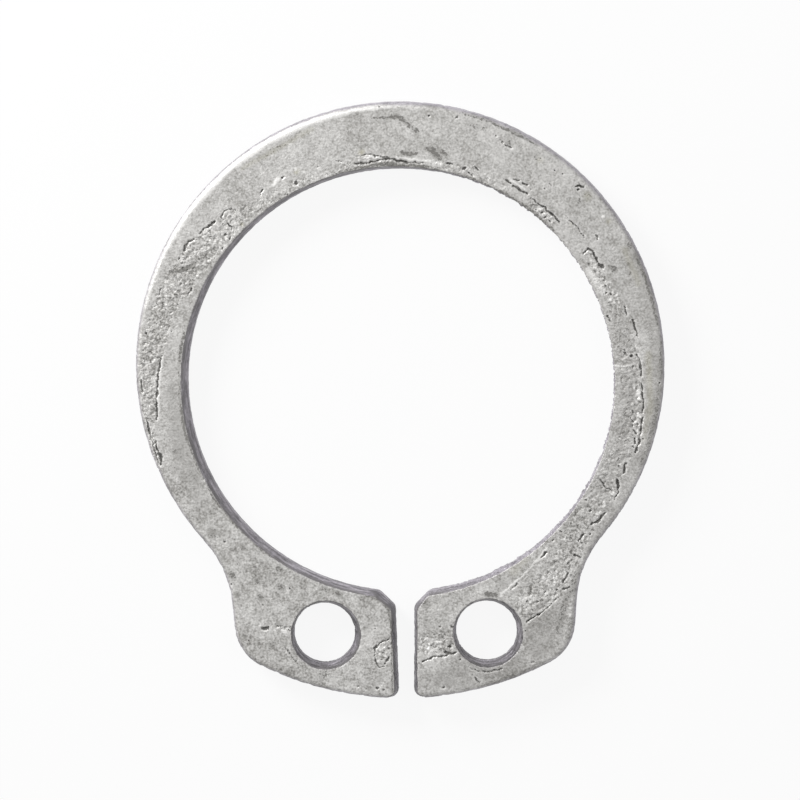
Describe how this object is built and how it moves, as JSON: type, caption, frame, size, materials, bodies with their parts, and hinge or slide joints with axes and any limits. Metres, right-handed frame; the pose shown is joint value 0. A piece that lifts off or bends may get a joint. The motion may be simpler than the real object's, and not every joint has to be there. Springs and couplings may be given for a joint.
{
  "type": "external retaining ring",
  "caption": "Flat open spring ring, widest opposite its gap, with drilled lugs at its ends. It snaps into a groove round a shaft and stops parts from sliding along it.",
  "frame": {"origin": "on the bore axis, in the ring's lower face", "axes": "+Z along the bore axis, out of the face whose outer edge is rolled over. +Y from the gap towards the widest part of the ring, so the lugs point along -Y"},
  "size_m": [0.0182, 0.0206, 0.001],
  "materials": {
    "spring_steel": "dull grey, worn and finely pitted"
  },
  "bodies": {
    "root": {"retaining_ring": "spring_steel"}
  },
  "joints": []
}
